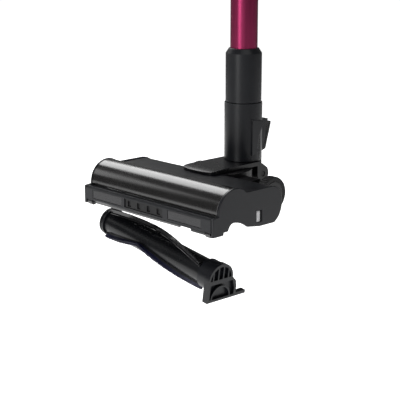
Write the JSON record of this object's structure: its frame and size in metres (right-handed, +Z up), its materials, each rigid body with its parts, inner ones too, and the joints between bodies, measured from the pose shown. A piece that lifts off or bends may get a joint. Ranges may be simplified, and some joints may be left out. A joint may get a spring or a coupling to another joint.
{
  "type": "cordless stick vacuum",
  "caption": "Cordless stick vacuum with a wheeled floor head, tilting and swivelling neck, metal wand, cyclone handset with battery, and its motor-driven brush bar taken out below the head.",
  "frame": {"origin": "on the flat underside of the floor head's sole, midway between the head's ends", "axes": "+X to the right seen from in front of the handle, along the roller; +Y to the back, from the bumper to the neck; +Z up along the wand"},
  "size_m": [0.2658, 0.3213, 1.1554],
  "materials": {
    "charcoal": "satin",
    "black": "matt",
    "smoked": "smoked gloss",
    "lens": "frosted",
    "rubber": "matt",
    "tyre": "matt",
    "grey": "satin",
    "mark": "satin",
    "bristle": "nylon tufts",
    "magenta": "anodised",
    "steel": "ground",
    "can": "drawn",
    "board": "solder mask",
    "clear": "transparent smoke",
    "filter": "pleated",
    "accent": "satin"
  },
  "bodies": {
    "handset": {"inlet_duct": "charcoal", "cyclone_cone": "grey", "pre_motor_filter": "filter", "motor_housing": "charcoal", "suction_motor": "can", "exhaust_cover": "black", "handle": "charcoal", "display_lens": "lens", "dock_plate": "black"},
    "impeller": {"impeller": "can"},
    "bin": {"dust_bin": "clear"},
    "bin_lid": {"bin_lid": "clear"},
    "bin_release": {"bin_release": "accent"},
    "trigger": {"power_trigger": "accent"},
    "mode_button": {"mode_button": "grey"},
    "battery": {"battery_pack": "charcoal"},
    "battery_button": {"battery_button": "grey"},
    "wand": {"wand_lower_sleeve": "charcoal", "wand_tube": "magenta", "wand_upper_collar": "charcoal"},
    "wand_button": {"wand_release_button": "grey"},
    "neck": {"neck_tube": "charcoal"},
    "pedal": {"release_pedal": "grey"},
    "yoke": {"swivel_yoke": "grey", "swivel_ring": "grey", "tilt_pin": "black"},
    "head": {"head_chassis": "black", "top_deck": "charcoal", "roller_hood": "smoked", "front_bumper": "charcoal", "headlamp_lens_left": "lens", "headlamp_lens_right": "lens", "headlamp_board_left": "board", "headlamp_board_right": "board", "air_inlet_insert": "black", "front_lip": "rubber", "side_cover_left": "charcoal", "side_cover_right": "charcoal", "air_duct": "black", "brush_motor": "can", "drive_belt": "rubber", "wheel_axle_left": "steel", "wheel_axle_right": "steel"},
    "lock_slider": {"brush_lock_slider": "mark"},
    "motor_pulley": {"motor_pulley": "steel"},
    "drive_coupling": {"drive_coupling": "grey"},
    "wheel_left": {"wheel_hub_left": "grey", "rear_tyre_left": "tyre"},
    "wheel_right": {"wheel_hub_right": "grey", "rear_tyre_right": "tyre"},
    "front_wheel_left": {"front_wheel_left": "rubber"},
    "front_wheel_right": {"front_wheel_right": "rubber"},
    "brush_frame": {"brush_end_block": "charcoal", "brush_axle": "steel"},
    "roller": {"brush_tube": "grey", "brush_cap": "charcoal", "bristle_strip_a": "bristle", "bristle_strip_b": "bristle", "rubber_fin": "rubber"}
  },
  "joints": [
    {"name": "impeller_spin", "type": "hinge", "parent": "handset", "child": "impeller", "pos_m": [0, 0.025, 0.975], "axis": [0, 0, 1], "continuous": true},
    {"name": "bin_pull", "type": "slide", "parent": "handset", "child": "bin", "axis": [0, 0, -1], "range_m": [0, 0.12]},
    {"name": "bin_lid_hinge", "type": "hinge", "parent": "bin", "child": "bin_lid", "pos_m": [0, -0.026, 0.8286], "axis": [-1, 0, 0], "range_deg": [0, 90]},
    {"name": "bin_release_slide", "type": "slide", "parent": "handset", "child": "bin_release", "axis": [0, 0, -1], "range_m": [0, 0.004], "stiffness_N_per_m": 300, "springref_m": -0.001},
    {"name": "trigger_pull", "type": "slide", "parent": "handset", "child": "trigger", "axis": [0, 1, 0], "range_m": [0, 0.004], "stiffness_N_per_m": 400, "springref_m": -0.001},
    {"name": "mode_press", "type": "slide", "parent": "handset", "child": "mode_button", "axis": [0, 0, -1], "range_m": [0, 0.0015], "stiffness_N_per_m": 400, "springref_m": -0.0006},
    {"name": "battery_pull", "type": "slide", "parent": "handset", "child": "battery", "axis": [0, 0, -1], "range_m": [0, 0.045]},
    {"name": "battery_button_press", "type": "slide", "parent": "battery", "child": "battery_button", "axis": [-1, 0, 0], "range_m": [0, 0.0015], "stiffness_N_per_m": 400, "springref_m": -0.0006},
    {"name": "wand_pull", "type": "slide", "parent": "handset", "child": "wand", "axis": [0, 0, -1], "range_m": [0, 0.055]},
    {"name": "wand_button_press", "type": "slide", "parent": "wand", "child": "wand_button", "axis": [0, -1, 0], "range_m": [0, 0.0015], "stiffness_N_per_m": 400, "springref_m": -0.0006},
    {"name": "neck_pull", "type": "slide", "parent": "wand", "child": "neck", "axis": [0, 0, -1], "range_m": [0, 0.055]},
    {"name": "pedal_swing", "type": "hinge", "parent": "neck", "child": "pedal", "pos_m": [0, 0.129, 0.0705], "axis": [-1, 0, 0], "range_deg": [0, 5.5], "stiffness_Nm_per_rad": 0.6, "springref_deg": -2.86},
    {"name": "neck_tilt", "type": "hinge", "parent": "neck", "child": "yoke", "pos_m": [0, 0.112, 0.037], "axis": [1, 0, 0], "range_deg": [0, 75]},
    {"name": "head_swivel", "type": "hinge", "parent": "yoke", "child": "head", "pos_m": [0, 0.054, 0.05], "axis": [0, 0, 1], "range_deg": [-20, 20]},
    {"name": "brush_lock_slide", "type": "slide", "parent": "head", "child": "lock_slider", "axis": [0, 1, 0], "range_m": [0, 0.004]},
    {"name": "pulley_spin", "type": "hinge", "parent": "head", "child": "motor_pulley", "pos_m": [-0.125, 0.002, 0.0255], "axis": [1, 0, 0], "continuous": true},
    {"name": "coupling_spin", "type": "hinge", "parent": "head", "child": "drive_coupling", "pos_m": [-0.125, -0.0492, 0.0255], "axis": [1, 0, 0], "continuous": true},
    {"name": "wheel_left_spin", "type": "hinge", "parent": "head", "child": "wheel_left", "pos_m": [-0.06, 0.072, 0.0226], "axis": [1, 0, 0], "continuous": true},
    {"name": "wheel_right_spin", "type": "hinge", "parent": "head", "child": "wheel_right", "pos_m": [0.081, 0.072, 0.0226], "axis": [1, 0, 0], "continuous": true},
    {"name": "front_wheel_left_spin", "type": "hinge", "parent": "head", "child": "front_wheel_left", "pos_m": [-0.1215, -0.08475, 0.003], "axis": [1, 0, 0], "continuous": true},
    {"name": "front_wheel_right_spin", "type": "hinge", "parent": "head", "child": "front_wheel_right", "pos_m": [0.1215, -0.08475, 0.003], "axis": [1, 0, 0], "continuous": true},
    {"name": "brush_swing", "type": "hinge", "parent": "head", "child": "brush_frame", "pos_m": [-0.50641, -0.05558, -0.02584], "axis": [0, 0.9924, -0.1234], "range_deg": [-8.36, 0]},
    {"name": "brush_spin", "type": "hinge", "parent": "brush_frame", "child": "roller", "pos_m": [0.00007, -0.05831, -0.04776], "axis": [0.9894, -0.0179, -0.1442], "continuous": true}
  ],
  "couplings": [
    {"joint": "pulley_spin", "follows": "coupling_spin", "ratio": 1.6667}
  ]
}
